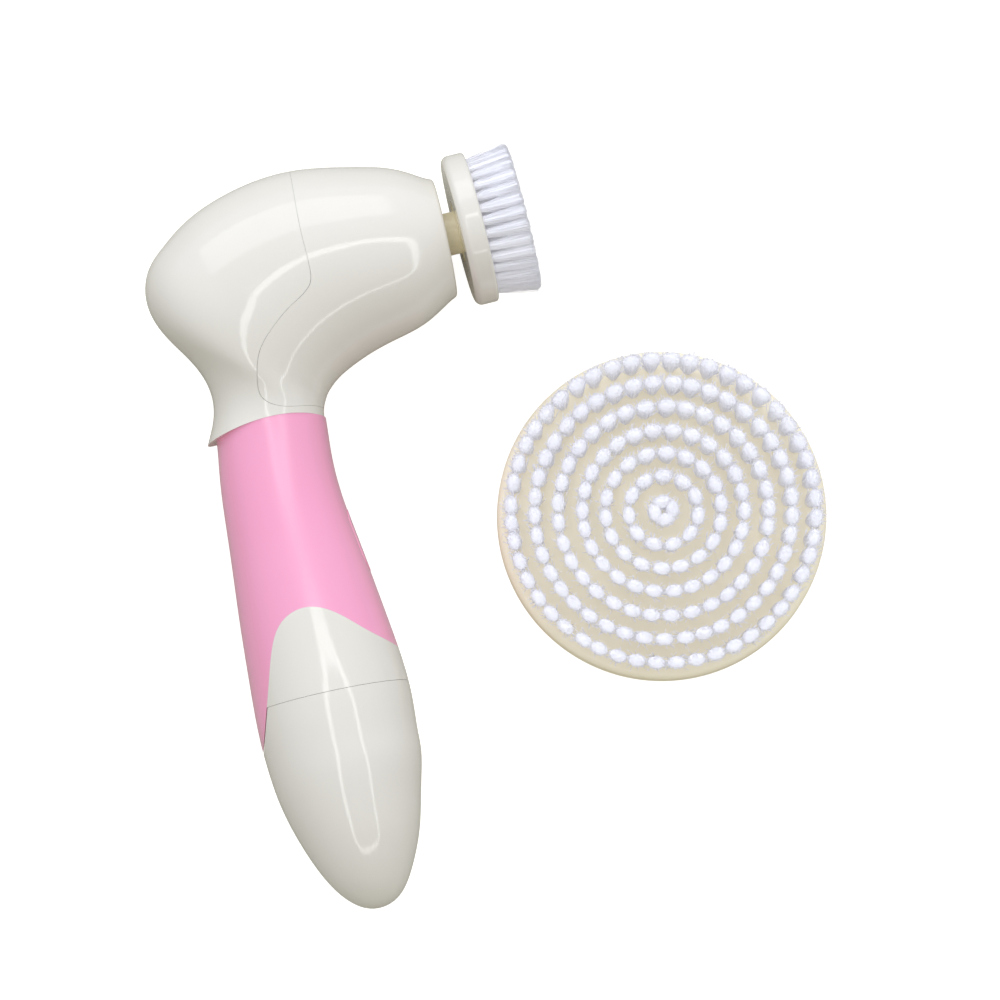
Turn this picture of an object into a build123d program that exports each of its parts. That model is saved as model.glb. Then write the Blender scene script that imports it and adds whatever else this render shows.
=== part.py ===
from build123d import *
from math import acos, cos, hypot, pi, radians, sin, tan
import os

# Hand-held facial cleansing brush, with a second and larger body-brush head beside it.
# Millimetres. The brush lies on its side: X is the way the spindle points, Y runs along the
# handle towards the head, and Z is up, square to the brush's plane of symmetry.
# Everything is drawn from the point where the spindle's axis meets the nozzle face, and is
# moved at the very end, so that the origin is the middle of the bottom of the whole set.

# ---------------------------------------------------------------- driving dimensions
NOZZLE_X = -2.8             # face of the nozzle
NOZZLE_RADIUS = 17.4
NOZZLE_EDGE = 1.3           # rounding of the nozzle's rim
HEAD_HALF_WIDTH = 24.0      # the widest half section of the head, along Z
HANDLE_ROUNDNESS = 0.99     # width of a handle section over its depth
SHELL_WALL = 2.2
GRIP_THICKNESS = 1.3
TUBE_INSET = 2.6            # inner face of the handle tube, measured in from the outside
COVER_INSET = 2.9           # inner face of the battery cover
COVER_SEAM_Y = -124.0
SEAM_GAP = 0.05             # half the visible parting line
SLIDE_GAP = 0.25            # clearance round pieces that slide
RUNNING_GAP = 0.05          # radial clearance of a turning shaft
TALL = 60.0                 # more than half the model's thickness

POST_RADIUS = 6.2           # tan drive post that a brush head pushes onto
POST_SQUARE = 8.0
SOCKET_DEPTH = 3.1
SOCKET_SQUARE_DEPTH = 2.7
HUB_RADIUS = 9.0
HUB_LENGTH = SOCKET_DEPTH + SOCKET_SQUARE_DEPTH

DRIVE_TILT_DEG = 1.9        # lean of the spindle's axis towards +Y, from square to the nozzle
DRIVE_RISE = 0.8            # height of that axis above the nozzle's middle, along Y
DRIVE_PLACE = Pos(0, DRIVE_RISE, 0) * Rot(0, 0, DRIVE_TILT_DEG)

FACIAL_BACK_X = 1.2
FACIAL_RADIUS = 22.2
FACIAL_THICKNESS = 6.9
FACIAL_BRISTLE_LENGTH = 13.1
FACIAL_BRISTLE_RADII = (20.6, 21.8)     # at the plate, at the tips

BODY_CENTRE = (42.5, -90.6)
BODY_PLATE_RADIUS = 48.0
BODY_PLATE_HEIGHT = 7.5
BODY_DECK = 3.2
BODY_SKIRT = 2.0
BODY_BRISTLE_LENGTH = 13.0
BODY_BRISTLE_RADII = (44.4, 46.2)       # at the plate, at the tips

CELL_RADIUS = 7.1
CELL_CAN_LENGTH = 49.3
CELL_NUB_LENGTH = 1.2
CELL_OFFSET = 7.3           # from the pack's axis to a cell's axis, along X and along Z
PACK_X = -63.6
PACK_TOP_Y = -97.7          # lower face of the upper contact plates
SPRING_SPACE = 3.0
CONTACT_THICKNESS = 0.4

OUTPUT_TEETH = 38
OUTPUT_MODULE = 0.5
COMPOUND_TEETH = 42
COMPOUND_MODULE = 0.4
PINION_TEETH = 10
GEAR_BACKLASH = 0.15
CENTRE_EXTRA = 0.05         # added to each centre distance
COMPOUND_Y = OUTPUT_MODULE * (OUTPUT_TEETH + PINION_TEETH) / 2 + CENTRE_EXTRA
MOTOR_Y = COMPOUND_Y - COMPOUND_MODULE * (COMPOUND_TEETH + PINION_TEETH) / 2 - CENTRE_EXTRA
GEAR_PRESSURE_ANGLE = radians(20)

SHAFT_RADIUS = 2.0
MOTOR_SHAFT_RADIUS = 1.0
AXLE_RADIUS = 1.0
MOTOR_RADIUS = 12.0
MOTOR_FRONT_X = -32.0
MOTOR_CAN_LENGTH = 28.0
FRONT_PLATE_X = (-14.0, -12.0)
REAR_PLATE_X = (-32.0, -30.0)
PILLARS = [(-14.0, 0.0), (4.0, 14.0), (4.0, -14.0)]             # y, z
BOSSES = [(-7.5, 11.5), (-7.5, -11.5), (9.0, 10.5), (9.0, -10.5)]

BUTTON_Y = -81.0
BUTTON_SURFACE_X = -46.0
BUTTON_SLOPE = 0.132        # the grip's front leans back by this, x per y, at the button
BUTTON_LENGTH = 19.0
BUTTON_WIDTH = 9.6
BUTTON_PROUD = 0.15

# Handle sections square to Y: y, front x, back x.
HANDLE = [
    (-38.0, -48.0, -80.9),
    (-50.0, -48.0, -80.7),
    (-65.0, -48.0, -82.3),
    (-79.0, -46.2, -83.2),
    (-95.0, -43.8, -84.4),
    (-111.0, -41.6, -85.3),
    (-125.0, -40.4, -85.9),
    (-139.0, -40.9, -85.6),
    (-151.0, -42.5, -84.2),
    (-163.0, -45.4, -81.0),
    (-173.0, -49.0, -77.0),
    (-180.0, -52.7, -72.8),
    (-184.3, -56.6, -68.4),
    (-185.9, -60.0, -65.0),
]
HANDLE_TIP = (-62.5, -186.2)

# Head sections, fanned about the inside of the neck: front point, back point, half width.
HEAD = [
    ((NOZZLE_X, -NOZZLE_RADIUS), (NOZZLE_X, NOZZLE_RADIUS), NOZZLE_RADIUS),
    ((-10.0, -21.4), (-10.0, 21.0), 20.1),
    ((-20.0, -25.3), (-21.0, 24.9), 22.2),
    ((-30.0, -28.1), (-34.0, 27.4), 23.5),
    ((-37.0, -31.0), (-48.0, 28.2), HEAD_HALF_WIDTH),
    ((-41.0, -33.2), (-61.0, 26.0), HEAD_HALF_WIDTH),
    ((-44.0, -35.6), (-73.0, 21.5), 23.7),
    ((-46.0, -38.0), (-84.0, 13.8), 22.8),
    ((-47.2, -40.3), (-91.2, 2.0), 21.2),
    ((-47.8, -42.3), (-88.6, -10.0), 19.4),
    ((-48.0, -44.2), (-82.9, -19.0), 17.8),
    ((-48.0, -46.0), (-79.2, -27.5), 16.6),
    ((-48.1, -47.8), (-78.8, -34.5), 16.2),
    ((-48.2, -49.6), (-81.3, -42.0), 16.7),
    ((-48.2, -51.4), (-83.6, -49.5), 17.3),
]

# Parting line between the front and rear housings, from the top of the head to the neck.
HOUSING_SEAM = [
    (-42.6, 34.0), (-43.4, 20.0), (-43.9, 6.0), (-43.7, -4.0), (-44.4, -7.8), (-46.6, -10.2),
    (-52.0, -13.6), (-58.0, -18.4), (-62.6, -23.6), (-65.0, -31.0), (-64.8, -36.5),
    (-61.5, -39.4), (-54.0, -40.9), (-44.0, -43.2),
]
SEAM_CENTRE = (-20.0, -20.0)    # the parting line is offset towards this point
# Lower edge of the collar, from the back to the front.
COLLAR_EDGE = [(-94.0, -49.0), (-82.4, -45.0), (-72.0, -43.0), (-62.0, -42.3), (-53.0, -43.1), (-44.0, -45.4)]
# Lower edge of the pink grip, from the front, over its arch, and down to the tail at the back.
GRIP_EDGE = [
    (-34.0, -118.6), (-41.3, -114.0), (-50.0, -108.0), (-58.0, -101.5), (-65.5, -98.8),
    (-73.0, -101.4), (-77.2, -108.0), (-79.5, -115.0), (-82.5, -125.0), (-85.5, -134.5), (-88.5, -144.0),
]

BUTTON_PLANE = Plane(
    origin=(BUTTON_SURFACE_X, BUTTON_Y, 0), x_dir=(-BUTTON_SLOPE, 1, 0), z_dir=(1, BUTTON_SLOPE, 0)
)


# ---------------------------------------------------------------- helpers
def x_cylinder(radius, x0, x1, y=0.0, z=0.0):
    return Pos((x0 + x1) / 2, y, z) * Rot(0, 90, 0) * Cylinder(radius, abs(x1 - x0))


def y_cylinder(radius, y0, y1, x=0.0, z=0.0):
    return Pos(x, (y0 + y1) / 2, z) * Rot(90, 0, 0) * Cylinder(radius, abs(y1 - y0))


def z_cylinder(radius, z0, z1, x=0.0, y=0.0):
    return Pos(x, y, (z0 + z1) / 2) * Cylinder(radius, abs(z1 - z0))


def box_between(low, high):
    size = [b - a for a, b in zip(low, high)]
    middle = [(a + b) / 2 for a, b in zip(low, high)]
    return Pos(*middle) * Box(*size)


def slab_y(y0, y1):
    return box_between((-140, y0, -TALL), (40, y1, TALL))


def x_ring(outer, inner, x0, x1, y=0.0, z=0.0):
    return x_cylinder(outer, x0, x1, y, z) - x_cylinder(inner, x0 - 1, x1 + 1, y, z)


def oval_section(front, back, half_width, inset, count=16):
    """A closed oval from its front point to its back point, which lie in the plane z = 0."""
    half_depth = hypot(back[0] - front[0], back[1] - front[1]) / 2
    way = [(b - f) / 2 / half_depth for f, b in zip(front, back)]
    centre = [(f + b) / 2 for f, b in zip(front, back)]
    points = []
    for k in range(count):
        angle = 2 * pi * k / count
        along = (half_depth - inset) * cos(angle)
        across = (half_width - inset) * sin(angle)
        points.append((centre[0] + along * way[0], centre[1] + along * way[1], across))
    knots = [k / count for k in range(count + 1)]
    return Face(Wire([Edge.make_spline(points, periodic=True, parameters=knots)]))


def handle_loft(inset):
    """The handle's outer form, made smaller by inset all round."""
    sections = []
    for y, front, back in HANDLE:
        half_depth = (front - back) / 2
        if half_depth - inset > 1.0:
            half_width = half_depth * HANDLE_ROUNDNESS
            sections.append(oval_section((front, y), (back, y), half_width, inset))
    if inset <= 0:
        sections.append(Vertex(HANDLE_TIP[0], HANDLE_TIP[1], 0))
    return loft(sections)


def head_loft(inset):
    return loft([oval_section(front, back, width, inset) for front, back, width in HEAD])


def prism(edges):
    """The closed outline, extruded through the whole thickness of the model."""
    return extrude(Face(Wire(edges)), amount=TALL, both=True)


def closed_outline(curve_points, corner_points):
    """A smooth curve through curve_points, closed by straight lines through corner_points."""
    edges = [Edge.make_spline(curve_points)]
    corners = [curve_points[-1]] + corner_points + [curve_points[0]]
    edges += [Edge.make_line(a, b) for a, b in zip(corners, corners[1:])]
    return edges


def moved(points, dx, dy):
    return [(x + dx, y + dy) for x, y in points]


def spur_gear(teeth, module, x0, x1, y, bore, tooth_at=0.0, addendum=0.8, dedendum=1.15):
    """A spur gear on an axis along X, with a tooth centred at the angle tooth_at from +Y."""
    pitch = module * teeth / 2
    base = pitch * cos(GEAR_PRESSURE_ANGLE)
    tip = pitch + addendum * module
    root = pitch - dedendum * module
    flank_start = max(base, root + 0.02 * module)
    radii = [root, flank_start] + [flank_start + (tip - flank_start) * k / 3 for k in (1, 2, 3)]

    def involute(angle):
        return tan(angle) - angle

    def half_angle(radius):
        at_base = pi / (2 * teeth) * (1 - GEAR_BACKLASH) + involute(GEAR_PRESSURE_ANGLE)
        if radius <= base:
            return at_base
        return at_base - involute(acos(base / radius))

    corners = []
    for tooth in range(teeth):
        middle = tooth_at + 2 * pi * tooth / teeth
        polar = [(radius, middle - half_angle(radius)) for radius in radii]
        polar += [(radius, middle + half_angle(radius)) for radius in reversed(radii)]
        corners += [(radius * cos(angle), radius * sin(angle)) for radius, angle in polar]
    plane = Plane(origin=(x0, y, 0), x_dir=(0, 1, 0), z_dir=(1, 0, 0))
    outline = Face(Wire.make_polygon([plane.from_local_coords(point) for point in corners]))
    blank = extrude(outline, amount=x1 - x0, dir=(1, 0, 0))
    return blank - x_cylinder(bore, x0 - 1, x1 + 1, y)


def pan_screws_x(places, head_x, head_radius, head_height, shank_radius, shank_end):
    """Screws along X: heads from head_x away from the shank, joined as one group."""
    away = 1 if head_x > shank_end else -1
    screws = []
    for y, z in places:
        head = x_cylinder(head_radius, head_x, head_x + away * head_height, y, z)
        slot_x = head_x + away * head_height
        slot = Pos(slot_x, y, z) * (Box(0.8, head_radius * 1.3, 0.45) + Box(0.8, 0.45, head_radius * 1.3))
        screws.append(head + x_cylinder(shank_radius, head_x, shank_end, y, z) - slot)
    return Compound(children=screws)


def conical_spring(x, z, y_wide, y_narrow):
    """A contact spring about a line along Y, widest at y_wide."""
    wire_radius, wide, narrow, turns = 0.35, 4.2, 2.6, 3
    way = 1 if y_narrow > y_wide else -1
    length = abs(y_narrow - y_wide) - 2 * wire_radius
    points = []
    for k in range(turns * 12 + 1):
        angle = 2 * pi * k / 12
        part = k / (turns * 12)
        radius = wide + (narrow - wide) * part
        y = y_wide + way * (wire_radius + length * part)
        points.append((x + radius * cos(angle), y, z + radius * sin(angle)))
    path = Edge.make_spline(points)
    start = Plane(origin=path @ 0, z_dir=path % 0)
    return sweep(start * Circle(wire_radius), path=Wire([path]))


def tube_along(points, radius, bend):
    """A wire of round section along straight runs joined by arcs."""
    path = FilletPolyline(*points, radius=bend)
    start = Plane(origin=path @ 0, z_dir=path % 0)
    return sweep(start * Circle(radius), path=path)


# ---------------------------------------------------------------- regions of the casing
def below_collar():
    return prism(closed_outline(COLLAR_EDGE, [(-30, -60), (-30, -210), (-110, -210), (-110, -60)]))


def grip_region(dx=0.0, dy=0.0):
    edges = [Edge.make_spline(COLLAR_EDGE), Edge.make_spline(moved(GRIP_EDGE, dx, dy))]
    edges.append(Edge.make_line(COLLAR_EDGE[-1], moved(GRIP_EDGE, dx, dy)[0]))
    edges.append(Edge.make_line(moved(GRIP_EDGE, dx, dy)[-1], COLLAR_EDGE[0]))
    return prism(edges)


def front_region(inwards=0.0):
    """The front housing's side of the parting line, which is moved inwards by that much."""
    seam = []
    for x, y in HOUSING_SEAM:
        away = hypot(SEAM_CENTRE[0] - x, SEAM_CENTRE[1] - y)
        step = inwards / away
        seam.append((x + (SEAM_CENTRE[0] - x) * step, y + (SEAM_CENTRE[1] - y) * step))
    return prism(closed_outline(seam, [(20, seam[-1][1]), (20, 45), (seam[0][0], 45)]))


def front_grip_layer(thickness, dx=0.0, dy=0.0):
    """The space of the grip, open to the outside, to a depth of thickness."""
    return (handle_loft(-4.0) - handle_loft(thickness)) & grip_region(dx, dy)


# ---------------------------------------------------------------- head housings
def head_shell():
    outer = head_loft(0.0)
    rim = outer.edges().sort_by(Axis.X)[-1]
    outer = fillet(rim, NOZZLE_EDGE)
    cavity = head_loft(SHELL_WALL) - box_between((NOZZLE_X - SHELL_WALL, -TALL, -TALL), (10, TALL, TALL))
    return (outer - cavity) - below_collar()


def front_housing(shell):
    own_side = front_region(SEAM_GAP)
    body = shell & own_side
    band = front_region(-3.0) - front_region(2.0)
    lip = (head_loft(SHELL_WALL + 0.25) - head_loft(SHELL_WALL + 1.0)) & band
    root = (head_loft(SHELL_WALL - 0.3) - head_loft(SHELL_WALL + 1.0)) & (band & own_side)
    inner_face = NOZZLE_X - SHELL_WALL
    body = body + root + (lip - below_collar() - slab_y(-60, -34))
    body += DRIVE_PLACE * x_cylinder(9.5, inner_face - 2.0, inner_face + 0.7)
    for y, z in BOSSES:
        body += DRIVE_PLACE * x_cylinder(2.2, FRONT_PLATE_X[1], inner_face + 0.7, y, z)
        body -= DRIVE_PLACE * x_cylinder(0.8, FRONT_PLATE_X[1] - 1, FRONT_PLATE_X[1] + 5.2, y, z)
    return body - DRIVE_PLACE * x_cylinder(7.2, inner_face - 3, 5)


def rear_housing(shell):
    body = shell - front_region(-SEAM_GAP)
    cradle_x = (-57.0, -50.5)
    cradle = x_ring(15.2, 13.4, *cradle_x, MOTOR_Y)
    arms = box_between((cradle_x[0], 15.5, -1.0), (cradle_x[1], 40, 1.0))
    for side in (-1, 1):
        low = (cradle_x[0], MOTOR_Y - 1, side * 24 - 9.5)
        arms += box_between(low, (cradle_x[1], MOTOR_Y + 1, side * 24 + 9.5))
    return body + DRIVE_PLACE * cradle + (DRIVE_PLACE * arms & head_loft(SHELL_WALL / 2))


def spindle_seal():
    return x_ring(7.2, POST_RADIUS + RUNNING_GAP, -6.8, -3.4)


# ---------------------------------------------------------------- handle
def handle_tube():
    body = (handle_loft(0.0) - handle_loft(TUBE_INSET)) & below_collar()
    body -= slab_y(-210, COVER_SEAM_Y + SEAM_GAP)
    body -= front_grip_layer(GRIP_THICKNESS)
    shoulder = (handle_loft(GRIP_THICKNESS + 0.2) - handle_loft(4.2)) & below_collar() & slab_y(-52, -40)
    spigot = (handle_loft(2.95) - handle_loft(4.2)) & slab_y(-46, -41)
    stop_ring = (handle_loft(TUBE_INSET - 0.5) - handle_loft(5.2)) & slab_y(-95.2, -92.6)
    lip_root = (handle_loft(TUBE_INSET - 0.5) - handle_loft(4.1)) & slab_y(COVER_SEAM_Y + SEAM_GAP, -121)
    lip = (handle_loft(COVER_INSET + SLIDE_GAP) - handle_loft(4.1)) & slab_y(-129.6, -121)
    body = body + shoulder + spigot + stop_ring + lip_root + lip
    body -= (handle_loft(2.8) - handle_loft(3.65)) & slab_y(-127.5, -126.1)
    for place in button_post_places():
        body += BUTTON_PLANE * (Pos(place[0], place[1], -(2.7 + 11.4) / 2) * Cylinder(1.3, 8.7))
    body -= button_prism(SLIDE_GAP)
    for place in button_post_places():
        body -= BUTTON_PLANE * (Pos(place[0], place[1], -9.4) * Cylinder(0.7, 5.0))
    return body


def grip_sleeve():
    sleeve = (handle_loft(0.0) - handle_loft(GRIP_THICKNESS)) & grip_region()
    return sleeve - button_prism(SLIDE_GAP)


def battery_cover():
    body = handle_loft(0.0) - handle_loft(COVER_INSET)
    body -= slab_y(COVER_SEAM_Y - SEAM_GAP, 20)
    return body - front_grip_layer(GRIP_THICKNESS + 0.3, 0.15, -0.25)


def cover_seal():
    return (handle_loft(COVER_INSET + 0.05) - handle_loft(3.65)) & slab_y(-127.4, -126.2)


# ---------------------------------------------------------------- button and board
def button_prism(extra, depth=6.0):
    outline = SlotOverall(BUTTON_LENGTH + 2 * extra, BUTTON_WIDTH + 2 * extra)
    return extrude(BUTTON_PLANE * Pos(0, 0, -depth) * outline, amount=depth + 4)


def button_post_places():
    return [(x, y) for x in (-10.4, 13.2) for y in (-4.5, 4.5)]


def power_button():
    cap = (handle_loft(-BUTTON_PROUD) - handle_loft(3.4)) & button_prism(0.0)
    flange = (handle_loft(TUBE_INSET + 0.35) - handle_loft(4.0)) & button_prism(0.9)
    stem = BUTTON_PLANE * (Pos(0, 0, -(3.2 + 6.6) / 2) * Cylinder(1.75, 3.4))
    return cap + flange + stem


def switch_plunger():
    return BUTTON_PLANE * (Pos(0, 0, -7.6) * Cylinder(1.7, 2.0))


def switch_body():
    body = Pos(0, 0, -(7.9 + 11.4) / 2) * Box(6.2, 6.2, 3.5)
    return BUTTON_PLANE * (body - Pos(0, 0, -8.85) * Cylinder(1.8, 1.9))


def control_board():
    board = Pos(1.0, 0, -12.0) * Box(27.2, 13.0, 1.2)
    for x, y in button_post_places():
        board -= Pos(x, y, -12.0) * Cylinder(0.8, 3)
    return BUTTON_PLANE * board


def board_components():
    chip = Pos(5.5, 0, -13.3) * Box(5.0, 4.0, 1.4)
    diode = Pos(-5.5, 2.5, -13.4) * Rot(0, 90, 0) * Cylinder(0.8, 4.2)
    resistor = Pos(-5.5, -2.5, -12.95) * Box(3.2, 1.6, 0.7)
    return BUTTON_PLANE * Compound(children=[chip, diode, resistor])


def board_screws():
    screws = []
    for x, y in button_post_places():
        head = Pos(x, y, -13.1) * Cylinder(1.5, 1.0)
        slot = Pos(x, y, -13.6) * Box(2.0, 0.4, 0.7)
        screws.append(head + Pos(x, y, -10.1) * Cylinder(0.7, 5.0) - slot)
    return BUTTON_PLANE * Compound(children=screws)


# ---------------------------------------------------------------- spindle and gearbox
def square_along_x(side, x0, x1, rounding):
    square = box_between((x0, -side / 2, -side / 2), (x1, side / 2, side / 2))
    return fillet(square.edges().filter_by(Axis.X), rounding)


def spindle_post():
    post = x_cylinder(POST_RADIUS, -7.0, 4.2) + square_along_x(POST_SQUARE, 4.0, 6.5, 0.8)
    post -= x_ring(POST_RADIUS + 1, POST_RADIUS - 0.7, 2.6, 3.6)
    return post - x_cylinder(SHAFT_RADIUS, -8, 5.2)


def head_retaining_ring():
    return x_ring(POST_RADIUS, POST_RADIUS - 0.7, 2.6, 3.6)


def output_shaft():
    shaft = x_cylinder(SHAFT_RADIUS, -22.4, 5.2)
    return shaft - x_ring(SHAFT_RADIUS + 1, SHAFT_RADIUS - 0.35, -15.7, -15.2)


def output_gear():
    gear = spur_gear(OUTPUT_TEETH, OUTPUT_MODULE, -21.0, -17.0, 0.0, SHAFT_RADIUS)
    gear -= x_ring(7.8, 4.6, -18.0, -16.0)
    return gear + x_ring(4.2, SHAFT_RADIUS, -22.0, -16.2)


def shaft_circlip():
    return x_ring(3.4, SHAFT_RADIUS - 0.35, -15.7, -15.2) - box_between((-16, -5, -0.8), (-15, 0, 0.8))


def bushing(x0, x1):
    return x_ring(3.6, SHAFT_RADIUS + RUNNING_GAP, x0, x1)


def gearbox_front_plate():
    plate = x_cylinder(16.8, *FRONT_PLATE_X) + x_cylinder(5.6, -15.0, -7.6)
    plate -= x_cylinder(SHAFT_RADIUS + 0.6, -16, -7)
    plate -= x_cylinder(3.6, -10.4, -7) + x_cylinder(3.6, -16, -12.2)
    plate -= x_cylinder(AXLE_RADIUS, -15, -11, COMPOUND_Y)
    for y, z in PILLARS + BOSSES:
        plate -= x_cylinder(0.95, -15, -11, y, z)
    return plate


def gearbox_rear_plate():
    plate = x_cylinder(17.6, *REAR_PLATE_X)
    for y, z in PILLARS:
        plate += x_cylinder(1.9, REAR_PLATE_X[1] - 0.5, FRONT_PLATE_X[0], y, z)
        plate -= x_cylinder(0.75, FRONT_PLATE_X[0] - 6, FRONT_PLATE_X[0] + 1, y, z)
    plate -= x_cylinder(3.6, -33, -29, MOTOR_Y)
    plate -= x_cylinder(AXLE_RADIUS, -31.2, -29, COMPOUND_Y)
    for side in (-8, 8):
        plate -= x_cylinder(0.95, -33, -29, MOTOR_Y, side)
    return plate


def compound_gear():
    x_small = (-22.6, -16.5)
    x_large = (-27.3, -24.8)
    bore = AXLE_RADIUS + RUNNING_GAP
    pinion = spur_gear(PINION_TEETH, OUTPUT_MODULE, *x_small, COMPOUND_Y, bore, pi / PINION_TEETH)
    wheel = spur_gear(COMPOUND_TEETH, COMPOUND_MODULE, *x_large, COMPOUND_Y, bore)
    hub = x_ring(3.4, bore, x_large[0] - 1.0, x_small[0], COMPOUND_Y)
    return pinion + wheel + hub


def compound_axle():
    return x_cylinder(AXLE_RADIUS, -31.2, FRONT_PLATE_X[1], COMPOUND_Y)


# ---------------------------------------------------------------- motor
MOTOR_BACK_X = MOTOR_FRONT_X - MOTOR_CAN_LENGTH


def motor_can():
    can = x_cylinder(MOTOR_RADIUS, MOTOR_BACK_X, MOTOR_FRONT_X, MOTOR_Y)
    can = fillet(can.edges().sort_by(Axis.X)[-1], 1.5)
    can -= x_cylinder(MOTOR_RADIUS - 0.8, MOTOR_BACK_X - 1, MOTOR_FRONT_X - 0.9, MOTOR_Y)
    can += x_cylinder(3.5, MOTOR_FRONT_X - 0.5, MOTOR_FRONT_X + 1.4, MOTOR_Y)
    for side in (-8, 8):
        can -= x_cylinder(0.8, MOTOR_FRONT_X - 2, MOTOR_FRONT_X + 1, MOTOR_Y, side)
    return can - x_cylinder(MOTOR_SHAFT_RADIUS + RUNNING_GAP, MOTOR_FRONT_X - 2, MOTOR_FRONT_X + 2, MOTOR_Y)


def motor_end_cap():
    cap = x_cylinder(MOTOR_RADIUS, MOTOR_BACK_X - 1.6, MOTOR_BACK_X, MOTOR_Y)
    cap += x_cylinder(MOTOR_RADIUS - 0.8, MOTOR_BACK_X, MOTOR_BACK_X + 3.0, MOTOR_Y)
    cap += x_cylinder(3.6, MOTOR_BACK_X - 3.2, MOTOR_BACK_X, MOTOR_Y)
    cap -= x_cylinder(MOTOR_SHAFT_RADIUS + RUNNING_GAP, MOTOR_BACK_X - 2.4, MOTOR_BACK_X + 4, MOTOR_Y)
    for side in (-7, 7):
        low = (MOTOR_BACK_X - 5, MOTOR_Y + side - 0.25, -1.5)
        high = (MOTOR_BACK_X + 5, MOTOR_Y + side + 0.25, 1.5)
        cap -= box_between(low, high)
    return cap


def motor_terminals():
    tabs = []
    for side in (-7, 7):
        low = (MOTOR_BACK_X - 5.5, MOTOR_Y + side - 0.25, -1.5)
        high = (MOTOR_BACK_X + 3.0, MOTOR_Y + side + 0.25, 1.5)
        tabs.append(box_between(low, high))
    return Compound(children=tabs)


def motor_magnets():
    x0, x1 = MOTOR_BACK_X + 5.0, MOTOR_FRONT_X - 3.0
    ring = x_ring(MOTOR_RADIUS - 0.8, 8.9, x0, x1, MOTOR_Y)
    halves = []
    for side in (-1, 1):
        low = (x0 - 1, MOTOR_Y - 8.5, side * 8 - 8 + 0.001)
        high = (x1 + 1, MOTOR_Y + 8.5, side * 8 + 8)
        halves.append(ring & box_between(low, high))
    return Compound(children=halves)


def motor_armature():
    x0, x1 = MOTOR_BACK_X + 6.0, MOTOR_FRONT_X - 4.0
    core = x_cylinder(8.3, x0, x1, MOTOR_Y)
    for k in range(3):
        slot = box_between((x0 - 1, 5.0, -1.2), (x1 + 1, 10, 1.2))
        slot += box_between((x0 - 1, 3.2, -2.6), (x1 + 1, 6.4, 2.6))
        core -= Pos(0, MOTOR_Y, 0) * Rot(120 * k, 0, 0) * slot
    return core - x_cylinder(MOTOR_SHAFT_RADIUS, x0 - 1, x1 + 1, MOTOR_Y)


def motor_shaft():
    return x_cylinder(MOTOR_SHAFT_RADIUS, MOTOR_BACK_X - 2.0, -23.8, MOTOR_Y)


def motor_pinion():
    return spur_gear(
        PINION_TEETH, COMPOUND_MODULE, -28.4, -24.2, MOTOR_Y, MOTOR_SHAFT_RADIUS, pi / PINION_TEETH
    )


def motor_cushion():
    return x_ring(13.4, MOTOR_RADIUS, -56.0, -51.5, MOTOR_Y)


# ---------------------------------------------------------------- batteries
def cell_places():
    """Each cell's x, z and whether its positive nub points towards the head."""
    near, far = PACK_X - CELL_OFFSET, PACK_X + CELL_OFFSET
    return [
        (near, -CELL_OFFSET, True),
        (near, CELL_OFFSET, False),
        (far, CELL_OFFSET, True),
        (far, -CELL_OFFSET, False),
    ]


PACK_BOTTOM_Y = PACK_TOP_Y - CELL_NUB_LENGTH - CELL_CAN_LENGTH - SPRING_SPACE


def battery_cell(x, z, nub_up):
    if nub_up:
        can_top = PACK_TOP_Y - CELL_NUB_LENGTH
        nub = (can_top - 0.5, PACK_TOP_Y)
    else:
        can_top = PACK_TOP_Y - SPRING_SPACE
        nub = (PACK_BOTTOM_Y, can_top - CELL_CAN_LENGTH + 0.5)
    can = y_cylinder(CELL_RADIUS, can_top - CELL_CAN_LENGTH, can_top, x, z)
    can = fillet(can.edges().filter_by(GeomType.CIRCLE), 0.6)
    return can + y_cylinder(2.7, nub[0], nub[1], x, z)


def battery_holder():
    top = PACK_TOP_Y + CONTACT_THICKNESS
    disc = y_cylinder(17.0, top, -95.2, PACK_X)
    disc += y_cylinder(2.9, PACK_TOP_Y - 48, top + 0.5, PACK_X)
    for quarter in range(4):
        prong = box_between((12.0, -120.0, -1.5), (16.6, top + 0.5, 1.5))
        disc += Pos(PACK_X, 0, 0) * Rot(0, 90 * quarter, 0) * prong
    return disc


def contact_plate(places, y0, y1):
    plate = None
    for x, z in places:
        pad = y_cylinder(4.6, y0, y1, x, z)
        plate = pad if plate is None else plate + pad
    if len(places) == 2:
        (xa, za), (xb, zb) = places
        low = (min(xa, xb) - 2.5, y0, min(za, zb) - 2.5)
        high = (max(xa, xb) + 2.5, y1, max(za, zb) + 2.5)
        plate += box_between(low, high)
    return plate


def contact_plates(groups, y0, y1):
    cells = cell_places()
    return Compound(children=[contact_plate([cells[k][:2] for k in group], y0, y1) for group in groups])


def upper_contacts():
    return contact_plates([[0], [1, 2], [3]], PACK_TOP_Y, PACK_TOP_Y + CONTACT_THICKNESS)


def lower_contacts():
    return contact_plates([[0, 1], [2, 3]], PACK_BOTTOM_Y - CONTACT_THICKNESS, PACK_BOTTOM_Y)


def upper_springs():
    end = PACK_TOP_Y - SPRING_SPACE
    return Compound(children=[conical_spring(x, z, PACK_TOP_Y, end) for x, z, up in cell_places() if not up])


def lower_springs():
    end = PACK_BOTTOM_Y + SPRING_SPACE - 0.3
    return Compound(children=[conical_spring(x, z, PACK_BOTTOM_Y, end) for x, z, up in cell_places() if up])


def contact_carrier():
    top = PACK_BOTTOM_Y - CONTACT_THICKNESS
    return handle_loft(COVER_INSET + 0.02) & slab_y(top - 1.8, top)


# ---------------------------------------------------------------- wires
WIRE_RADIUS = 0.6


def wire_red():
    return tube_along([(-62, -95.2, 6), (-62, -90, 6), (-64, -78, 4), (-62.4, -70, 3)], WIRE_RADIUS, 4)


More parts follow.
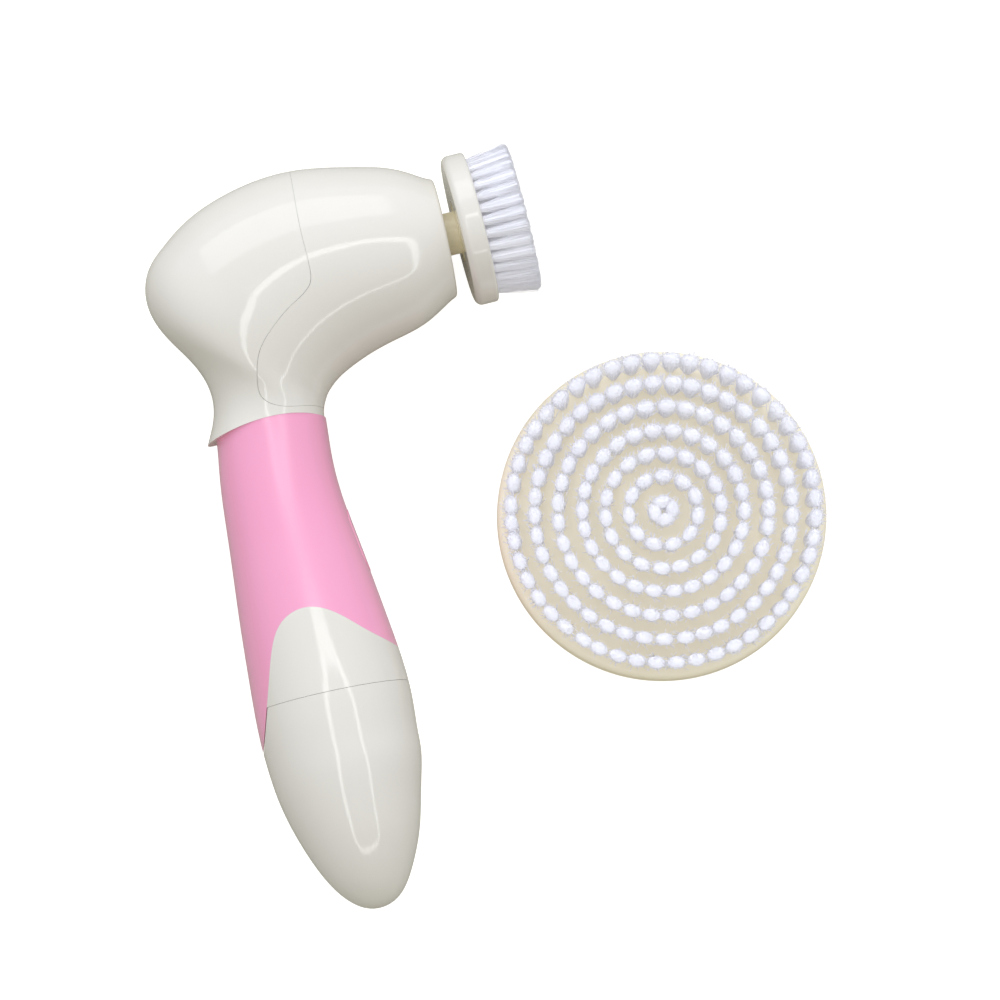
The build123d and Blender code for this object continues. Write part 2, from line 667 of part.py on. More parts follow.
def motor_terminal(side):
    """Where a wire meets the motor's terminal on that side, after the drive is put in place."""
    x, y = MOTOR_BACK_X - 4.5, MOTOR_Y + side * (7.25 + WIRE_RADIUS)
    turn = radians(DRIVE_TILT_DEG)
    return (x * cos(turn) - y * sin(turn), DRIVE_RISE + x * sin(turn) + y * cos(turn), 0)


def wire_black():
    route = [(-68, -95.2, -6), (-68, -85, -6), (-66, -60, -4), (-66, -34, -2), (-70, -18, 0)]
    return tube_along(route + [motor_terminal(-1)], WIRE_RADIUS, 6)


def wire_white():
    route = [(-60.5, -67, 2), (-62, -60, 3), (-62, -36, 3), (-74, -18, 5), (-76, 0, 5), (-70, 9.5, 1)]
    return tube_along(route + [motor_terminal(1)], WIRE_RADIUS, 2)


# ---------------------------------------------------------------- brush heads
def drive_hub():
    """The push-on socket, opening towards -X at x = 0."""
    hub = x_cylinder(HUB_RADIUS, 0, HUB_LENGTH)
    hub -= x_cylinder(POST_RADIUS + RUNNING_GAP, -1, SOCKET_DEPTH)
    return hub - square_along_x(POST_SQUARE + 0.2, SOCKET_DEPTH - 0.5, HUB_LENGTH + 1, 0.8)


def facial_plate():
    back, front = FACIAL_BACK_X, FACIAL_BACK_X + FACIAL_THICKNESS
    plate = x_cylinder(FACIAL_RADIUS, back, front)
    rims = plate.edges().filter_by(GeomType.CIRCLE).sort_by(Axis.X)
    plate = fillet(rims[0], 2.2)
    plate = fillet(plate.edges().filter_by(GeomType.CIRCLE).sort_by(Axis.X)[-1], 1.0)
    return plate - x_cylinder(HUB_RADIUS, back - 1, back + HUB_LENGTH)


def facial_bristles():
    start = FACIAL_BACK_X + FACIAL_THICKNESS
    cone = Cone(*FACIAL_BRISTLE_RADII, FACIAL_BRISTLE_LENGTH)
    return Pos(start + FACIAL_BRISTLE_LENGTH / 2, 0, 0) * Rot(0, 90, 0) * cone


FLOOR_Z = -HEAD_HALF_WIDTH


def body_plate():
    x, y = BODY_CENTRE
    top = FLOOR_Z + BODY_PLATE_HEIGHT
    plate = z_cylinder(BODY_PLATE_RADIUS, FLOOR_Z, top, x, y)
    plate = fillet(plate.edges().filter_by(GeomType.CIRCLE).sort_by(Axis.Z)[-1], 1.6)
    plate -= z_cylinder(BODY_PLATE_RADIUS - BODY_SKIRT, FLOOR_Z - 1, top - BODY_DECK, x, y)
    plate += z_cylinder(HUB_RADIUS + 2.0, FLOOR_Z + 0.6, top - BODY_DECK + 0.5, x, y)
    for k in range(8):
        low = (HUB_RADIUS + 1.5, -0.8, FLOOR_Z + 1.5)
        rib = box_between(low, (BODY_PLATE_RADIUS - 1, 0.8, top - BODY_DECK + 0.5))
        plate += Pos(x, y, 0) * Rot(0, 0, 45 * k) * rib
    return plate - z_cylinder(HUB_RADIUS, FLOOR_Z - 1, FLOOR_Z + 0.6 + HUB_LENGTH, x, y)


def body_hub():
    return Pos(BODY_CENTRE[0], BODY_CENTRE[1], FLOOR_Z + 0.6) * Rot(0, -90, 0) * drive_hub()


def body_bristles():
    base = FLOOR_Z + BODY_PLATE_HEIGHT
    cone = Cone(*BODY_BRISTLE_RADII, BODY_BRISTLE_LENGTH)
    return Pos(BODY_CENTRE[0], BODY_CENTRE[1], base + BODY_BRISTLE_LENGTH / 2) * cone


# ---------------------------------------------------------------- the whole set
def drive_parts():
    """Everything that sits square to the spindle's axis, drawn along X."""
    return {
        "spindle_seal": spindle_seal(),
        "spindle_post": spindle_post(),
        "head_retaining_ring": head_retaining_ring(),
        "output_shaft": output_shaft(),
        "output_gear": output_gear(),
        "shaft_circlip": shaft_circlip(),
        "front_bushing": bushing(-10.4, -7.6),
        "rear_bushing": bushing(-15.0, -12.2),
        "gearbox_front_plate": gearbox_front_plate(),
        "gearbox_rear_plate": gearbox_rear_plate(),
        "gearbox_screws": pan_screws_x(PILLARS, FRONT_PLATE_X[1], 1.8, 1.2, 0.75, FRONT_PLATE_X[0] - 5),
        "mounting_screws": pan_screws_x(BOSSES, FRONT_PLATE_X[0], 1.8, 1.2, 0.8, FRONT_PLATE_X[1] + 5),
        "compound_gear": compound_gear(),
        "compound_axle": compound_axle(),
        "motor_can": motor_can(),
        "motor_end_cap": motor_end_cap(),
        "motor_terminals": motor_terminals(),
        "motor_magnets": motor_magnets(),
        "motor_armature": motor_armature(),
        "motor_shaft": motor_shaft(),
        "motor_pinion": motor_pinion(),
        "motor_cushion": motor_cushion(),
        "motor_screws": pan_screws_x(
            [(MOTOR_Y, -8), (MOTOR_Y, 8)], REAR_PLATE_X[1], 1.7, 1.1, 0.8, MOTOR_FRONT_X - 0.9
        ),
        "facial_plate": facial_plate(),
        "facial_hub": Pos(FACIAL_BACK_X, 0, 0) * drive_hub(),
        "facial_bristles": facial_bristles(),
    }


def build_parts():
    shell = head_shell()
    parts = {
        "front_housing": front_housing(shell),
        "rear_housing": rear_housing(shell),
        "handle_tube": handle_tube(),
        "grip_sleeve": grip_sleeve(),
        "battery_cover": battery_cover(),
        "cover_seal": cover_seal(),
        "power_button": power_button(),
        "switch_plunger": switch_plunger(),
        "switch_body": switch_body(),
        "control_board": control_board(),
        "board_components": board_components(),
        "board_screws": board_screws(),
        "battery_holder": battery_holder(),
        "upper_contacts": upper_contacts(),
        "upper_springs": upper_springs(),
        "lower_contacts": lower_contacts(),
        "lower_springs": lower_springs(),
        "contact_carrier": contact_carrier(),
        "wire_red": wire_red(),
        "wire_black": wire_black(),
        "wire_white": wire_white(),
        "body_plate": body_plate(),
        "body_hub": body_hub(),
        "body_bristles": body_bristles(),
    }
    for name, part in drive_parts().items():
        parts[name] = DRIVE_PLACE * part
    for k, (x, z, nub_up) in enumerate(cell_places()):
        parts[f"battery_cell_{k + 1}"] = battery_cell(x, z, nub_up)
    return parts


def write_parts(parts):
    """Move the set so that its origin is the middle of its bottom, and write one file a piece."""
    whole = [part.bounding_box() for part in parts.values()]
    low = [min(getattr(box.min, axis) for box in whole) for axis in "XYZ"]
    high = [max(getattr(box.max, axis) for box in whole) for axis in "XYZ"]
    shift = Pos(-(low[0] + high[0]) / 2, -(low[1] + high[1]) / 2, -low[2])
    print("origin moved by", shift.position)
    os.makedirs("parts", exist_ok=True)
    for name, part in parts.items():
        export_step(shift * part, f"parts/{name}.step")


write_parts(build_parts())
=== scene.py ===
"""Studio picture of a facial cleansing brush and its spare body-brush head.

Everything is in metres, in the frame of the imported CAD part: X is the way the spindle points,
Y runs along the handle towards the head, and Z is up from the table.
"""
from math import cos, pi, radians, sin, tan

import bpy
import numpy as np
from mathutils import Matrix, Vector

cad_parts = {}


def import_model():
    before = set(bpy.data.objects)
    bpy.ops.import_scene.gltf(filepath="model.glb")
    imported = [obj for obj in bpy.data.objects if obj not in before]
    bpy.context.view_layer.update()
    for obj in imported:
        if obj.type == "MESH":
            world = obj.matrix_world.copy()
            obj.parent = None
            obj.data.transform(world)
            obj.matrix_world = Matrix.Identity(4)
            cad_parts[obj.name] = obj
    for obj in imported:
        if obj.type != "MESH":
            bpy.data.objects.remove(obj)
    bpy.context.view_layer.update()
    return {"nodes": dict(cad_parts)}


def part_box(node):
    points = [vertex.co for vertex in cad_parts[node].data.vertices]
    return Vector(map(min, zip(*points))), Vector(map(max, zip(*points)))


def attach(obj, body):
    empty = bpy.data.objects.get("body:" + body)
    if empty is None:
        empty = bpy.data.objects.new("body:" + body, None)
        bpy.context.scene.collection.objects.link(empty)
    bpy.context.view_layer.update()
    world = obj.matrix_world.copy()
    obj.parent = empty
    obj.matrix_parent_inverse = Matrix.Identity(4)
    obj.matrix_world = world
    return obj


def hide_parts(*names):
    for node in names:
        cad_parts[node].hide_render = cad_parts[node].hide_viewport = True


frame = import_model()

MM = 0.001

# ---------------------------------------------------------------- driving dimensions
CAMERA_LEAN = (radians(6.5), radians(-1.2), radians(-12.3))     # pitch, roll and turn from straight down
CAMERA_DISTANCE = 2.4
PICTURE_WIDTH = 0.2892
PICTURE_CENTRE = (-3.08 * MM, 0.75 * MM, 24 * MM)

LIGHT_HEIGHT = 1.5
# the left, right and far (or near) edge of the ring of lights, as angles from straight up
FRAME_TOP = (radians(-9.5), radians(23.5), radians(14.5))
FRAME_BOTTOM = (radians(-20.5), radians(36), radians(-42.5))
CORNER_CUT = 0.24
BAR_WIDTH = 0.13
BAR_RADIANCE = 3.5
PANEL_RADIANCE = 0.25
PANEL_LIFT = 0.05           # metres above the bars, so that it doesn't hide them
TOP_LIGHT_PLACE = (-0.2, 1.3, 0.9)
TOP_LIGHT_SIZE = (1.6, 0.9)
TOP_LIGHT_RADIANCE = 1.3
TOP_LIGHT_COLOUR = (0.95, 0.96, 1.0)

ROOM_WAY = (0.08, 0.98, 0.15)   # from the room's dim side to its bright side
ROOM_SPAN = 0.9             # how far along that way, each side of the middle, the room's colour changes
ROOM_DIM = (0.17, 0.158, 0.105, 1)
ROOM_BRIGHT = (0.90, 0.94, 1.10, 1)
FLOOR_HALF_SIZE = 6.0
FLOOR_GLOW = 0.88           # the table is pale to the camera, but sends little light back up

PLASTIC_IOR = 1.53
CELL_BAND = 14 * MM         # length of the coloured band on a battery's sleeve

SPINDLE_TILT = radians(1.9)
# the sizes of the tufts, up to BODY_ROOT_SHARE, are in millimetres; a ring is its radius and its tufts
FACIAL_BACK_RADIUS = 20.6
FACIAL_RINGS = [(0.0, 1), (3.9, 6), (7.9, 12), (11.8, 18), (15.7, 25), (19.7, 31)]
FACIAL_TUFT_BASE = 1.2
FACIAL_TUFT_TIP = (1.95, 2.25)     # half the spread along a radius, and along the ring
FACIAL_FILAMENTS = 120
FACIAL_FILAMENT_RADIUS = 0.085
FACIAL_ROOT_SHARE = 0.95    # a tuft's root is this much nearer the head's axis than its tip

BODY_RINGS = [(2.6, 4), (10.2, 11), (17.0, 18), (23.7, 26), (30.8, 33), (37.7, 41), (44.6, 48)]
BODY_TUFT_BASE = 1.4
BODY_TUFT_TIP = (2.1, 3.15)
BODY_FILAMENTS = 180
BODY_FILAMENT_RADIUS = 0.115
BODY_ROOT_SHARE = 0.965
BODY_GLOW = 0.1             # a stronger painted glow than the facial tufts', standing in for light from above that reaches deeper into these upright tufts

# a tuft's dense middle, as shares of its length and of its width there; the last four make a dome
CORE_PROFILE = [(0.0, 0.9), (0.4, 0.9), (0.82, 0.92), (0.89, 0.9), (0.93, 0.72), (0.955, 0.42), (0.965, 0.12)]
CORE_SIDES = 10
TUBE_SIDES = 3
ACROSS_TUBES = (0.31, 0.87, 0.39)   # any way that no filament runs along
CROWDING = 0.4              # under 0.5, more filaments stand at a tuft's edge than in its middle
STRAY_SHARE = 0.14          # filaments that lean further out than the rest
STRAY_SPREAD = 1.55
REACH_SCATTER = 0.05
TRIM_SCATTER = 0.2 * MM     # how unevenly the filaments are cut
TIP_ROUNDING = 0.5 * MM     # how much lower a tuft is at its edge
FILAMENT_BEND = 0.1 * MM
RING_STAGGER = 0.37         # of a tuft's spacing, from each ring to the next
TUFT_SCATTER = 0.006        # radians along the ring


# ---------------------------------------------------------------- colour and node helpers
def srgb(red, green, blue):
    """A colour from its 0 to 255 values, as the linear four numbers that a node takes."""
    values = [c / 255 for c in (red, green, blue)]
    linear = [c / 12.92 if c <= 0.04045 else ((c + 0.055) / 1.055) ** 2.4 for c in values]
    return (*linear, 1.0)


class Finish:
    """A material under construction: its nodes, its shader, and short ways to add to them."""

    def __init__(self, name):
        self.material = bpy.data.materials.new(name)
        self.material.use_nodes = True
        self.tree = self.material.node_tree
        self.shader = self.tree.nodes["Principled BSDF"]
        self.place = self.node("ShaderNodeTexCoord").outputs["Object"]

    def node(self, kind, **inputs):
        """A new node, with values or sockets for the inputs whose names are given with underscores."""
        made = self.tree.nodes.new(kind)
        for socket, value in inputs.items():
            self.feed(made.inputs[socket.replace("_", " ")], value)
        return made

    def feed(self, socket, value):
        if isinstance(value, bpy.types.NodeSocket):
            self.tree.links.new(value, socket)
        else:
            socket.default_value = value

    def set(self, **inputs):
        for socket, value in inputs.items():
            self.feed(self.shader.inputs[socket.replace("_", " ")], value)

    def stretched(self, scale):
        """Object coordinates, scaled on each axis."""
        return self.node("ShaderNodeMapping", Vector=self.place, Scale=scale).outputs["Vector"]

    def noise(self, scale, detail=3.0, vector=None):
        made = self.node("ShaderNodeTexNoise", Scale=scale, Detail=detail, Vector=vector or self.place)
        return made.outputs["Fac"]

    def between(self, factor, low, high):
        """A number that goes from low to high as the factor goes from 0.3 to 0.7."""
        made = self.node(
            "ShaderNodeMapRange", Value=factor, From_Min=0.3, From_Max=0.7, To_Min=low, To_Max=high,
        )
        return made.outputs["Result"]

    def blend(self, factor, low, high):
        """A colour between two colours or colour sockets, which are the mix node's sockets 6, 7 and 2."""
        made = self.node("ShaderNodeMix", Factor=factor)
        made.data_type = "RGBA"
        self.feed(made.inputs[6], low)
        self.feed(made.inputs[7], high)
        return made.outputs[2]

    def bump(self, height, distance):
        """Relief from a height between 0 and 1, whose full step is distance metres."""
        made = self.node("ShaderNodeBump", Height=height, Distance=distance)
        self.set(Normal=made.outputs["Normal"])


# ---------------------------------------------------------------- finishes
def moulded(name, dark, light, roughness, grain=900.0, depth=4e-6, cloud=60.0):
    """Moulded plastic: a faint cloudiness in its colour, and fine texture in its gloss and relief."""
    finish = Finish(name)
    colour = finish.blend(finish.between(finish.noise(cloud), 0, 1), srgb(*dark), srgb(*light))
    fine = finish.noise(grain)
    finish.set(Base_Color=colour, Roughness=finish.between(fine, *roughness), IOR=PLASTIC_IOR)
    finish.bump(fine, depth)
    return finish


def ivory_abs(name):
    return moulded(name, (238, 234, 220), (241, 237, 224), (0.07, 0.1), depth=4e-7, cloud=25.0)


def pink_abs(name):
    finish = moulded(name, (252, 167, 200), (252, 170, 202), (0.22, 0.24), depth=2e-7, cloud=25.0)
    finish.set(Coat_Weight=1.0, Coat_Roughness=0.28)
    # The faint pink emission is a painted glow: the plastic glows though it is no lamp, which lightens the
    # pink.
    finish.set(Emission_Color=srgb(250, 140, 185), Emission_Strength=0.07)
    return finish


def drive_plastic(name):
    # Painted light: a colour lighter than the real plastic, plus a faint painted glow, lift the drive post
    # out of the shade between the head and the brush.
    finish = moulded(name, (246, 236, 202), (249, 240, 210), (0.28, 0.36), depth=1e-6)
    finish.set(Emission_Color=srgb(236, 218, 168), Emission_Strength=0.05)
    return finish


def natural_pp(name):
    """Undyed plastic, with a painted glow that stands in for light passing through it and lightens it in the
    shade between the tufts.
    """
    finish = moulded(name, (245, 237, 212), (248, 241, 219), (0.3, 0.4), depth=1e-6)
    finish.set(Emission_Color=srgb(250, 236, 198), Emission_Strength=0.17)
    return finish


def bristle_nylon(name, glow=0.08):
    """Clear white filaments with a faint painted glow, which stands in for the light they pass on among
    themselves.
    """
    finish = moulded(name, (248, 248, 252), (252, 252, 254), (0.34, 0.46), grain=3000.0)
    finish.set(Emission_Color=srgb(244, 244, 252), Emission_Strength=glow)
    return finish


def seal_rubber(name):
    return moulded(name, (58, 57, 56), (70, 69, 67), (0.55, 0.7), grain=2500.0)


def gear_acetal(name):
    return moulded(name, (226, 226, 218), (236, 236, 229), (0.26, 0.36))


def frame_plastic(name):
    return moulded(name, (44, 45, 48), (56, 57, 60), (0.38, 0.5), grain=1800.0, depth=8e-6)


def magnet_ferrite(name):
    return moulded(name, (40, 38, 38), (55, 52, 51), (0.5, 0.7), grain=4000.0, depth=1e-5)


def component_black(name):
    return moulded(name, (22, 22, 24), (34, 34, 36), (0.35, 0.5), grain=3500.0)


def wire_jacket(colour):
    """Wire insulation, with cloudiness that goes from its colour to a slightly lighter one."""
    def made(name):
        light = tuple(min(255, round(c * 1.08 + 5)) for c in colour)
        return moulded(name, colour, light, (0.35, 0.48), grain=2500.0)
    return made


def metal(colour, roughness, streak):
    """Metal with fine streaks, which run along the axis whose streak scale is least."""
    def made(name):
        finish = Finish(name)
        dark = tuple(round(c * 0.9) for c in colour)
        lines = finish.noise(1.0, 4.0, finish.stretched(streak))
        finish.set(
            Base_Color=finish.blend(finish.between(lines, 0, 1), srgb(*dark), srgb(*colour)),
            Roughness=finish.between(lines, *roughness),
            Metallic=1.0,
        )
        finish.bump(lines, 2e-6)
        return finish
    return made


def circuit_board(name):
    """Green solder mask over a fine weave, with lighter copper runs under it."""
    finish = Finish(name)
    runs = finish.node("ShaderNodeTexBrick", Vector=finish.place, Scale=260.0, Mortar_Size=0.06)
    mask = finish.blend(finish.noise(700.0), srgb(18, 92, 58), srgb(26, 110, 70))
    finish.set(
        Base_Color=finish.blend(runs.outputs["Fac"], mask, srgb(58, 142, 84)),
        Roughness=finish.between(finish.noise(1500.0), 0.3, 0.42),
    )
    finish.bump(runs.outputs["Fac"], 1.5e-5)
    return finish


def cell_jacket(name):
    """A printed sleeve: a dark body with one copper-coloured band along a part of its length."""
    finish = Finish(name)
    along = finish.node("ShaderNodeSeparateXYZ", Vector=finish.place).outputs["Y"]
    band = finish.node("ShaderNodeMath", Value=along)
    band.operation = "GREATER_THAN"
    band.inputs[1].default_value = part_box("battery_cell_1")[1].y - CELL_BAND
    sleeve = finish.blend(finish.noise(500.0), srgb(30, 34, 44), srgb(38, 43, 54))
    copper = finish.blend(finish.noise(900.0), srgb(176, 116, 66), srgb(192, 130, 78))
    finish.set(
        Base_Color=finish.blend(band.outputs["Value"], sleeve, copper),
        Roughness=finish.between(finish.noise(1400.0), 0.22, 0.32),
    )
    return finish


FINISHES = {
    "ivory_abs": ivory_abs,
    "pink_abs": pink_abs,
    "drive_plastic": drive_plastic,
    "natural_pp": natural_pp,
    "bristle_nylon": bristle_nylon,
    "seal_rubber": seal_rubber,
    "gear_acetal": gear_acetal,
    "frame_plastic": frame_plastic,
    "steel": metal((196, 197, 199), (0.22, 0.36), (300.0, 6000.0, 6000.0)),
    "nickel_strip": metal((205, 201, 192), (0.18, 0.3), (6000.0, 300.0, 6000.0)),
    "brass": metal((214, 178, 108), (0.24, 0.36), (300.0, 5000.0, 5000.0)),
    "magnet_ferrite": magnet_ferrite,
    "circuit_board": circuit_board,
    "component_black": component_black,
    "cell_jacket": cell_jacket,
    "wire_red": wire_jacket((176, 34, 32)),
    "wire_black": wire_jacket((26, 26, 28)),
    "wire_white": wire_jacket((222, 222, 218)),
}


def finish_nodes():
    """Gives each CAD node the finish of its slot, and returns the finishes by slot."""
    slots = {name: node.data.materials[0].name for name, node in frame["nodes"].items()}
    for plain in list(bpy.data.materials):
        bpy.data.materials.remove(plain)
    made = {slot: FINISHES[slot](slot).material for slot in sorted(set(slots.values()))}
    for name, node in frame["nodes"].items():
        node.data.materials.clear()
        node.data.materials.append(made[slots[name]])
    return made


# ---------------------------------------------------------------- brush tufts
def ring_quads(rings, sides):
    """The faces between consecutive rings of vertices, each ring with this many sides."""
    quads = [
        (row * sides + k, row * sides + (k + 1) % sides,
         (row + 1) * sides + (k + 1) % sides, (row + 1) * sides + k)
        for row in range(rings - 1)
        for k in range(sides)
    ]
    return np.array(quads)


def bundle(roots, tips, radius, bulge):
    """Tubes from roots to tips: their vertices, the faces of their sides, and the caps on their tips.

    A tube's middle stands off the straight line between its ends by bulge, one vector for each.
    """
    along = tips - roots
    along /= np.linalg.norm(along, axis=1)[:, None]
    side = np.cross(along, ACROSS_TUBES)
    side /= np.linalg.norm(side, axis=1)[:, None]
    other = np.cross(along, side)
    middle = (roots + tips) / 2 + bulge
    corners = []
    for centre in (roots, middle, tips):
        for k in range(TUBE_SIDES):
            angle = 2 * pi * k / TUBE_SIDES
            corners.append(centre + radius * (cos(angle) * side + sin(angle) * other))
    vertices = np.stack(corners, axis=1)
    starts = np.arange(len(roots)) * len(corners)
    faces = (starts[:, None, None] + ring_quads(3, TUBE_SIDES)[None]).reshape(-1, 4)
    caps = starts[:, None] + np.arange(2 * TUBE_SIDES, 3 * TUBE_SIDES)[None]
    return vertices.reshape(-1, 3), faces, caps


def mesh_of(name, parts, place, material):
    """One mesh object from parts, each its vertices and then sets of faces, moved by the matrix place."""
    vertices = np.concatenate([p[0] for p in parts])
    starts = np.cumsum([0] + [len(p[0]) for p in parts[:-1]])
    groups = [faces + start for (_, *sets), start in zip(parts, starts) for faces in sets]
    corners = np.concatenate([g.ravel() for g in groups])
    totals = np.concatenate([np.full(len(g), g.shape[1]) for g in groups])
    mesh = bpy.data.meshes.new(name)
    mesh.vertices.add(len(vertices))
    mesh.loops.add(len(corners))
    mesh.polygons.add(len(totals))
    moved = vertices @ np.array(place.to_3x3()).T + np.array(place.translation)
    mesh.vertices.foreach_set("co", moved.ravel())
    mesh.loops.foreach_set("vertex_index", corners)
    mesh.polygons.foreach_set("loop_start", np.concatenate([[0], np.cumsum(totals)[:-1]]))
    mesh.update(calc_edges=True)
    mesh.validate()
    mesh.shade_smooth()
    mesh.materials.append(material)
    made = bpy.data.objects.new(name, mesh)
    bpy.context.scene.collection.objects.link(made)
    return made


def core(root, tip, compass, base, spread, length):
    """A tuft's dense middle: rings along the line from root to tip, closed with a dome."""
    rings = []
    for along, fill in CORE_PROFILE:
        centre = root + (tip - root) * along
        reach = fill * (base + (spread - base) * along)
        for k in range(CORE_SIDES):
            angle = 2 * pi * k / CORE_SIDES
            x, y = centre + compass @ (reach * (cos(angle), sin(angle)))
            rings.append((x, y, along * length))
    top = np.arange(CORE_SIDES)[None] + (len(CORE_PROFILE) - 1) * CORE_SIDES
    return np.array(rings), ring_quads(len(CORE_PROFILE), CORE_SIDES), top


def tuft(draw, root, tip, compass, base, spread, filaments, filament_radius, length):
    """A tuft standing along +Z: filaments that fan out from root to tip, round a shorter core.

    compass holds the ways outward and around the head; spread is half the tip's width along each.
    """
    share = draw.random(filaments) ** CROWDING
    turn = draw.random(filaments) * 2 * pi
    disc = np.stack([share * np.cos(turn), share * np.sin(turn)], axis=1)
    reach = np.where(draw.random(filaments) < STRAY_SHARE, STRAY_SPREAD, 1.0)
    reach *= 1 + REACH_SCATTER * draw.standard_normal(filaments)
    fan = (disc * spread) @ compass.T
    roots = np.zeros((filaments, 3))
    tips = np.zeros((filaments, 3))
    roots[:, :2] = root + disc @ compass.T * base
    tips[:, :2] = tip + fan * reach[:, None]
    uneven = np.abs(draw.standard_normal(filaments)) * TRIM_SCATTER
    tips[:, 2] = length - uneven - TIP_ROUNDING * (share * reach) ** 2
    bulge = np.zeros((filaments, 3))
    bulge[:, :2] = FILAMENT_BEND * draw.standard_normal((filaments, 2))
    hairs = bundle(roots, tips, filament_radius, bulge)
    return [hairs, core(root, tip, compass, base, spread, length)]


def tufted_rings(
    name, rings, sizes, filaments, filament_radius, length, root_share, seed, place, material,
):
    """A piece with concentric rings of tufts, which lean outwards a little."""
    base, spread = sizes
    draw = np.random.default_rng(seed)
    parts = []
    for number, (radius, count) in enumerate(rings):
        for k in range(count):
            turn = 2 * pi * (k + RING_STAGGER * number) / count + draw.normal(0, TUFT_SCATTER)
            way = np.array([cos(turn), sin(turn)])
            compass = np.array([way, (-way[1], way[0])]).T
            tip = radius * MM * way
            parts += tuft(
                draw, tip * root_share, tip, compass, base * MM, np.array(spread) * MM,
                filaments, filament_radius * MM, length,
            )
    return mesh_of(name, parts, place, material)


def facial_tufts(material):
    """The tufts of the facial head, on the spindle's tilted axis."""
    low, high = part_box("facial_bristles")
    tip_radius = (high.z - low.z) / 2
    back_x = low.x + FACIAL_BACK_RADIUS * MM * sin(SPINDLE_TILT)
    length = (high.x - tip_radius * sin(SPINDLE_TILT) - back_x) / cos(SPINDLE_TILT)
    back_y = high.y - tip_radius * cos(SPINDLE_TILT) - length * sin(SPINDLE_TILT)
    place = (
        Matrix.Translation((back_x, back_y, (low.z + high.z) / 2))
        @ Matrix.Rotation(SPINDLE_TILT, 4, "Z")
        @ Matrix.Rotation(pi / 2, 4, "Y")
    )
    piece = tufted_rings(
        "facial_tufts", FACIAL_RINGS, (FACIAL_TUFT_BASE, FACIAL_TUFT_TIP), FACIAL_FILAMENTS,
        FACIAL_FILAMENT_RADIUS, length, FACIAL_ROOT_SHARE, 11, place, material,
    )
    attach(piece, "facial_head")
    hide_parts("facial_bristles")


def body_tufts(material):
    """The tufts of the spare head, as three pieces of one or more rings each."""
    low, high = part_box("body_bristles")
    middle = (low + high) / 2
    place = Matrix.Translation((middle.x, middle.y, low.z))
    groups = {
        "body_tufts_inner": BODY_RINGS[:4],
        "body_tufts_middle": BODY_RINGS[4:6],
        "body_tufts_outer": BODY_RINGS[6:],
    }
    for seed, (name, rings) in enumerate(groups.items()):
        piece = tufted_rings(
            name, rings, (BODY_TUFT_BASE, BODY_TUFT_TIP), BODY_FILAMENTS,
            BODY_FILAMENT_RADIUS, high.z - low.z, BODY_ROOT_SHARE, 21 + seed, place, material,
        )
        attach(piece, "body_head")
        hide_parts("body_bristles")


# ---------------------------------------------------------------- studio
def area_light(name, centre, size, radiance, colour=(1, 1, 1), turn=0.0, aim=None):
    """A flat light of even radiance that faces down, turned about Z, or else faces the point aim."""
    data = bpy.data.lights.new(name, "AREA")
    data.shape = "RECTANGLE"
    data.size, data.size_y = size
    data.energy = radiance * size[0] * size[1] * pi
    data.color = colour
    light = bpy.data.objects.new(name, data)
    light.location = centre
    light.rotation_euler = (0, 0, turn)
    if aim is not None:
        light.rotation_mode = "QUATERNION"
        light.rotation_quaternion = (Vector(aim) - Vector(centre)).to_track_quat("-Z", "Y")
    light.visible_camera = False
    bpy.context.scene.collection.objects.link(light)


def overhead(angle_x, angle_y):
    """The point at the lights' height that lies at these angles from straight up."""
    return Vector((LIGHT_HEIGHT * tan(angle_x), LIGHT_HEIGHT * tan(angle_y), LIGHT_HEIGHT))


def light_frame():
    """A ring of bright bars round a fainter panel, which gloss surfaces mirror as a thin closed loop."""
    far_left, far_right = (overhead(x, FRAME_TOP[2]) for x in FRAME_TOP[:2])
    near_left, near_right = (overhead(x, FRAME_BOTTOM[2]) for x in FRAME_BOTTOM[:2])
    corners = [far_left, far_right, near_right, near_left]
    ring = []
    for number, corner in enumerate(corners):
        for other in (corners[number - 1], corners[(number + 1) % 4]):
            ring.append(corner + CORNER_CUT * (other - corner).normalized())
    for number, start in enumerate(ring):
        end = ring[(number + 1) % len(ring)]
        run = end - start
        turn = run.to_2d().angle_signed(Vector((1, 0)))
        area_light(f"bar_{number}", (start + end) / 2, (run.length, BAR_WIDTH), BAR_RADIANCE, turn=turn)
    middle = (far_left + far_right + near_left + near_right) / 4
    width = ((far_right - far_left).length + (near_right - near_left).length) / 2
    depth = (far_left - near_left).y
    area_light("panel", middle + Vector((0, 0, PANEL_LIFT)), (width, depth), PANEL_RADIANCE)


def top_light():
    """A cool window beyond the head's end, which lights that side of the ivory."""
    area_light(
        "top_light", TOP_LIGHT_PLACE, TOP_LIGHT_SIZE, TOP_LIGHT_RADIANCE, TOP_LIGHT_COLOUR, aim=(0, 0, 0),
    )


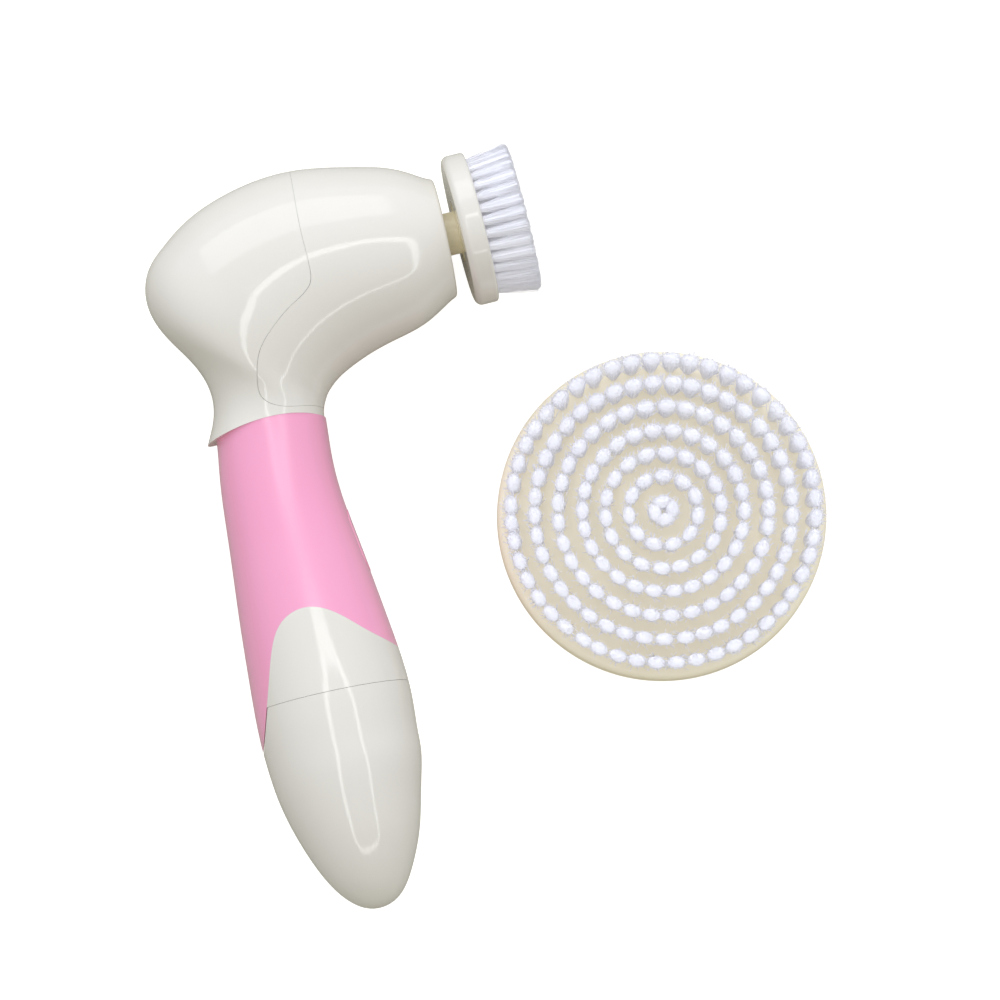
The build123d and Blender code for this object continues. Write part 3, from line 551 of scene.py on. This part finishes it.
def world():
    """A pale room, cool and bright beyond the head's end, and warm and dim beyond the cap's."""
    made = bpy.data.worlds.new("room")
    made.use_nodes = True
    tree = made.node_tree
    place = tree.nodes.new("ShaderNodeTexCoord")
    along = tree.nodes.new("ShaderNodeVectorMath")
    along.operation = "DOT_PRODUCT"
    along.inputs[1].default_value = ROOM_WAY
    mix = tree.nodes.new("ShaderNodeMix")
    mix.data_type = "RGBA"
    span = tree.nodes.new("ShaderNodeMapRange")
    span.inputs["From Min"].default_value = -ROOM_SPAN
    span.inputs["From Max"].default_value = ROOM_SPAN
    mix.inputs[6].default_value = ROOM_DIM
    mix.inputs[7].default_value = ROOM_BRIGHT
    tree.links.new(place.outputs["Generated"], along.inputs[0])
    tree.links.new(along.outputs["Value"], span.inputs["Value"])
    tree.links.new(span.outputs["Result"], mix.inputs["Factor"])
    tree.links.new(mix.outputs[2], tree.nodes["Background"].inputs["Color"])
    bpy.context.scene.world = made


def floor():
    """The table top, whose glow only the camera's own rays meet."""
    mesh = bpy.data.meshes.new("floor")
    ways = ((-1, -1), (1, -1), (1, 1), (-1, 1))
    corners = [(FLOOR_HALF_SIZE * x, FLOOR_HALF_SIZE * y, 0) for x, y in ways]
    mesh.from_pydata(corners, [], [(0, 1, 2, 3)])
    made = bpy.data.objects.new("floor", mesh)
    bpy.context.scene.collection.objects.link(made)
    finish = moulded("table_top", (186, 183, 168), (190, 187, 172), (0.6, 0.7), grain=300.0)
    seen = finish.node("ShaderNodeLightPath").outputs["Is Camera Ray"]
    glow = finish.node("ShaderNodeMath", Value=seen)
    glow.operation = "MULTIPLY"
    glow.inputs[1].default_value = FLOOR_GLOW
    finish.set(Emission_Color=(1, 1, 1, 1), Emission_Strength=glow.outputs["Value"], Specular_IOR_Level=0.1)
    mesh.materials.append(finish.material)


def camera():
    """A long lens, nearly straight overhead."""
    data = bpy.data.cameras.new("camera")
    data.lens = data.sensor_width * CAMERA_DISTANCE / PICTURE_WIDTH
    made = bpy.data.objects.new("camera", data)
    made.rotation_euler = CAMERA_LEAN
    back = made.rotation_euler.to_matrix() @ Vector((0, 0, 1))
    made.location = Vector(PICTURE_CENTRE) + CAMERA_DISTANCE * back
    bpy.context.scene.collection.objects.link(made)
    bpy.context.scene.camera = made


finishes = finish_nodes()
facial_tufts(finishes["bristle_nylon"])
# The spare head's tufts get a copy of the nylon with a stronger painted glow.
body_tufts(bristle_nylon("bristle_nylon_upright", BODY_GLOW).material)
light_frame()
top_light()
world()
floor()
camera()
bpy.context.scene.view_settings.view_transform = "Standard"
